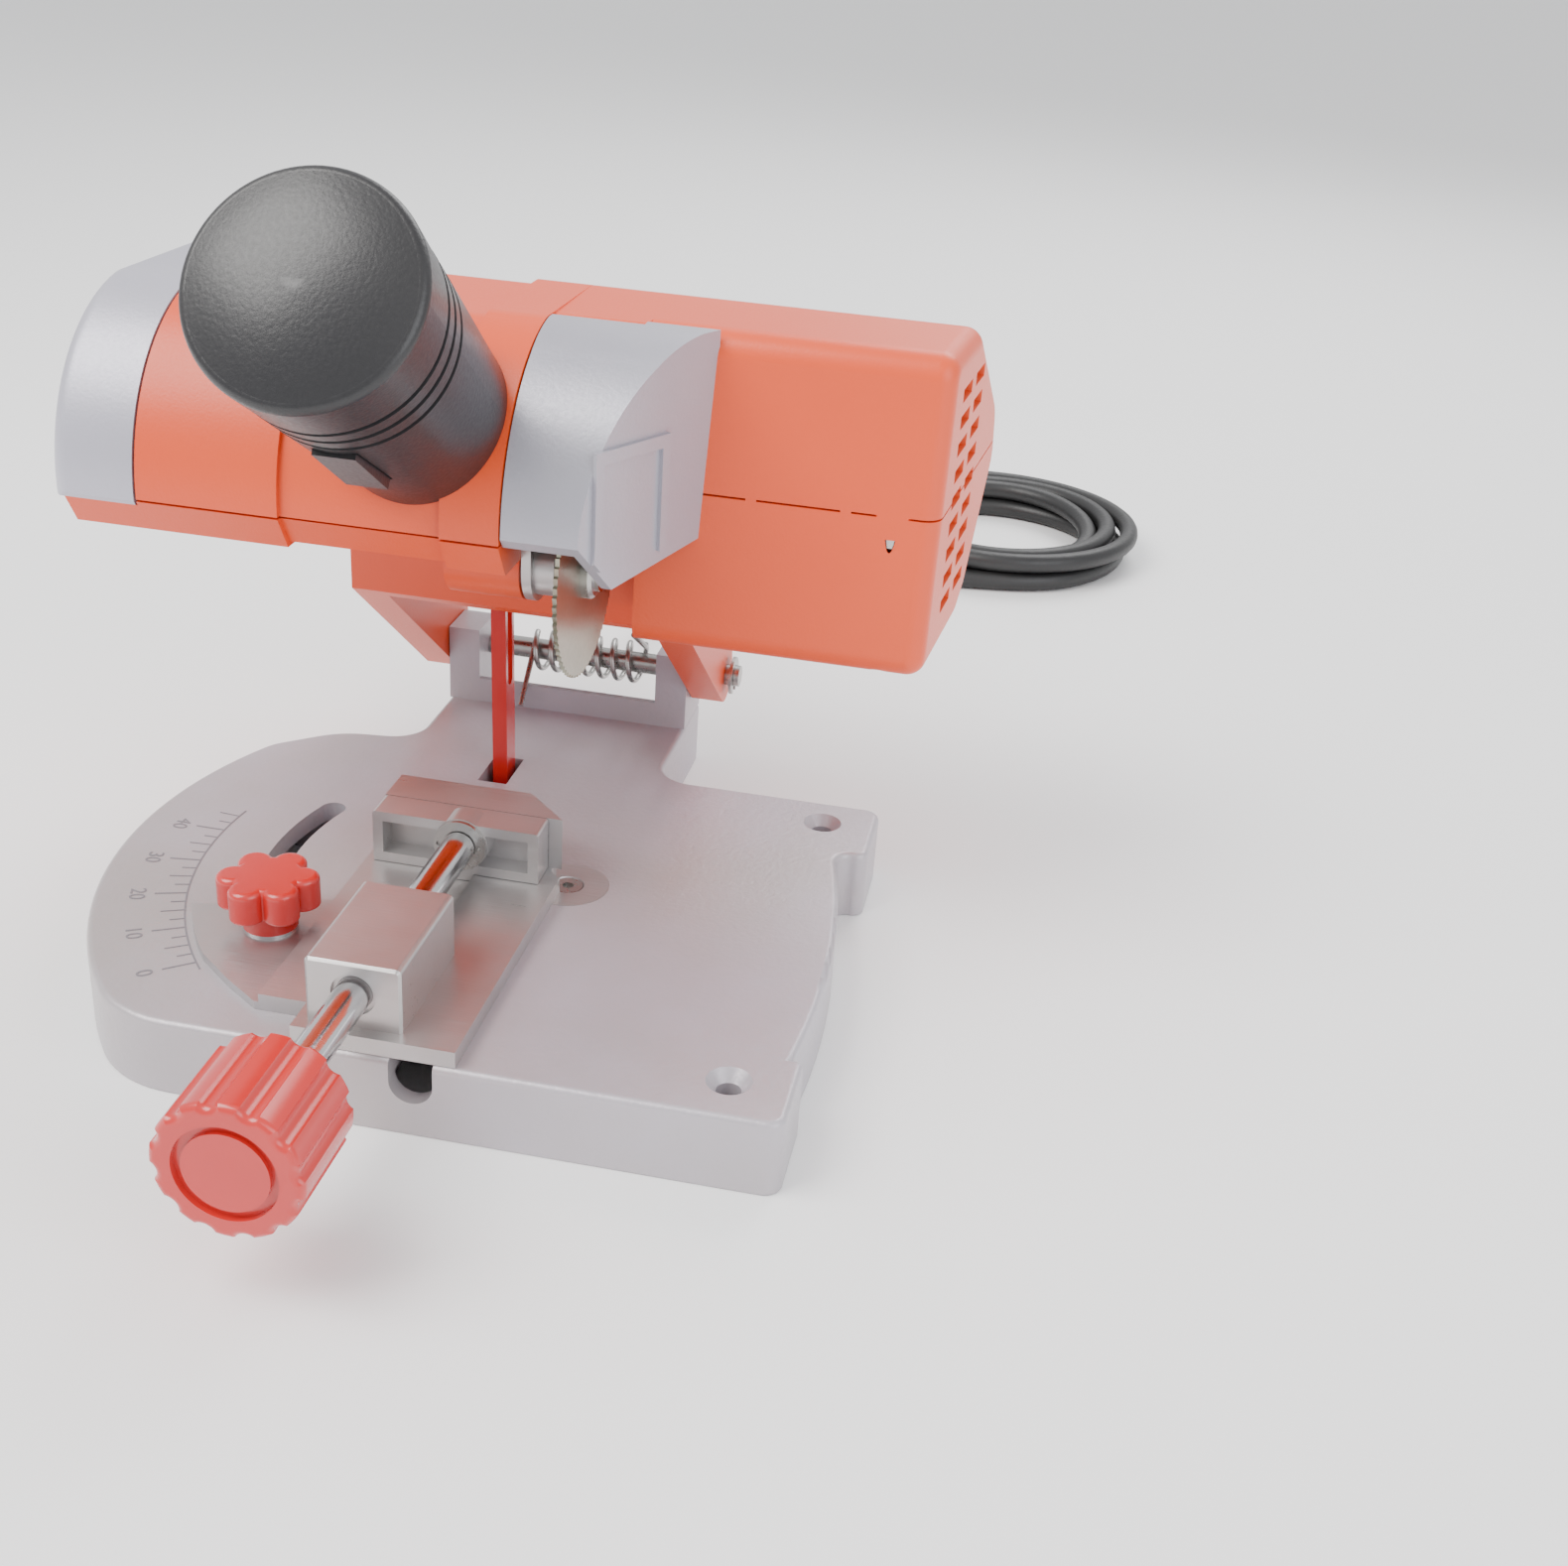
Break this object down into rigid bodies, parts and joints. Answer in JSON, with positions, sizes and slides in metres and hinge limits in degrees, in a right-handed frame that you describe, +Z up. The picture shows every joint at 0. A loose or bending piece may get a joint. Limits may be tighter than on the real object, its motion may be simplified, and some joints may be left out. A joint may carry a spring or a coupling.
{
  "type": "bench mitre cut-off saw",
  "caption": "Small bench cut-off saw: a guarded round blade in a belt-driven head, hinged behind a cast base with a swivelling screw vise, a mitre scale and a safety link.",
  "frame": {"origin": "on the bench, under the mitre pivot, in the plane of the blade", "axes": "+X to the right along the hinge, +Y to the back, +Z up from the bench"},
  "size_m": [0.252, 0.5285, 0.1905],
  "materials": {
    "cast_base": "satin",
    "vise_metal": "machined",
    "steel": "brushed",
    "bright_screw": "polished",
    "blade_steel": "brushed",
    "housing": "satin",
    "red_plastic": "gloss",
    "guard_paint": "satin",
    "cap_plastic": "satin",
    "handle_black": "satin",
    "core_plastic": "matt",
    "motor_steel": "satin",
    "magnet": "matt",
    "copper": "bright",
    "carbon": "matt",
    "belt_rubber": "matt",
    "cord_rubber": "satin"
  },
  "bodies": {
    "base": {"base_casting": "cast_base", "hinge_pin": "steel", "hinge_clips": "steel", "torsion_spring": "steel", "link_pin": "steel", "power_cord": "cord_rubber", "cord_coil": "cord_rubber", "plug_body": "cord_rubber", "plug_pins": "bright_screw", "pivot_screw": "steel"},
    "mitre_vise": {"vise_bed": "vise_metal", "fixed_jaw": "vise_metal", "nut_block": "vise_metal", "vise_screws": "bright_screw", "lock_washer": "bright_screw"},
    "mitre_lock": {"lock_stud": "bright_screw", "lock_knob": "red_plastic"},
    "jaw": {"moving_jaw": "vise_metal", "jaw_retaining_ring": "steel"},
    "vise_spindle": {"vise_screw": "bright_screw", "vise_knob": "red_plastic"},
    "link": {"safety_link": "red_plastic"},
    "head": {"upper_housing": "housing", "lower_housing": "housing", "housing_screws": "steel", "end_cap": "cap_plastic", "end_cap_screw": "steel", "blade_guard": "guard_paint", "handle_grip": "handle_black", "handle_core": "core_plastic", "switch_body": "core_plastic", "motor_can": "motor_steel", "motor_magnets": "magnet", "end_bell": "core_plastic", "carbon_brushes": "carbon", "shaft_bearings": "steel", "drive_belt": "belt_rubber", "spindle_housing": "vise_metal", "spindle_housing_screws": "steel", "spindle_bearings": "steel", "strain_relief": "cord_rubber", "link_stop_pin": "steel"},
    "switch_trigger": {"trigger": "handle_black"},
    "rotor": {"rotor_shaft": "steel", "armature_core": "motor_steel", "armature_windings": "copper", "commutator": "copper", "cooling_fan": "core_plastic", "motor_pulley": "steel"},
    "blade_spindle": {"spindle": "steel", "spindle_pulley": "steel", "inner_flange": "steel", "outer_flange": "steel", "blade": "blade_steel", "arbor_screw": "bright_screw"}
  },
  "joints": [
    {"name": "head_swing", "type": "hinge", "parent": "base", "child": "head", "pos_m": [0, 0.105, 0.032], "axis": [1, 0, 0], "range_deg": [0, 27], "stiffness_Nm_per_rad": 1, "springref_deg": -40.11},
    {"name": "link_tilt", "type": "hinge", "parent": "base", "child": "link", "pos_m": [-0.0345, 0.057, 0.0045], "axis": [1, 0, 0], "range_deg": [0, 19.5]},
    {"name": "mitre_swing", "type": "hinge", "parent": "base", "child": "mitre_vise", "pos_m": [0, 0, 0.018], "axis": [0, 0, -1], "range_deg": [0, 45]},
    {"name": "lock_turn", "type": "hinge", "parent": "mitre_vise", "child": "mitre_lock", "pos_m": [-0.05816, -0.04072, 0.022], "axis": [0, 0, 1], "range_deg": [0, 90]},
    {"name": "screw_turn", "type": "hinge", "parent": "jaw", "child": "vise_spindle", "pos_m": [-0.024, -0.1, 0.03], "axis": [0, -1, 0], "range_deg": [0, 7260]},
    {"name": "jaw_slide", "type": "slide", "parent": "mitre_vise", "child": "jaw", "axis": [0, -1, 0], "range_m": [0, 0.025]},
    {"name": "trigger_pull", "type": "slide", "parent": "head", "child": "switch_trigger", "axis": [0, 0.5563, 0.831], "range_m": [0, 0.0035], "stiffness_N_per_m": 400, "springref_m": -0.003},
    {"name": "rotor_spin", "type": "hinge", "parent": "head", "child": "rotor", "pos_m": [0.02, 0.052, 0.112], "axis": [1, 0, 0], "continuous": true},
    {"name": "blade_spin", "type": "hinge", "parent": "head", "child": "blade_spindle", "pos_m": [0, 0.01, 0.096], "axis": [1, 0, 0], "continuous": true}
  ],
  "couplings": [
    {"joint": "link_tilt", "follows": "head_swing", "ratio": 0.6724},
    {"joint": "screw_turn", "follows": "jaw_slide", "rad_per_m": 5026.5},
    {"joint": "blade_spin", "follows": "rotor_spin", "ratio": 1.5}
  ]
}
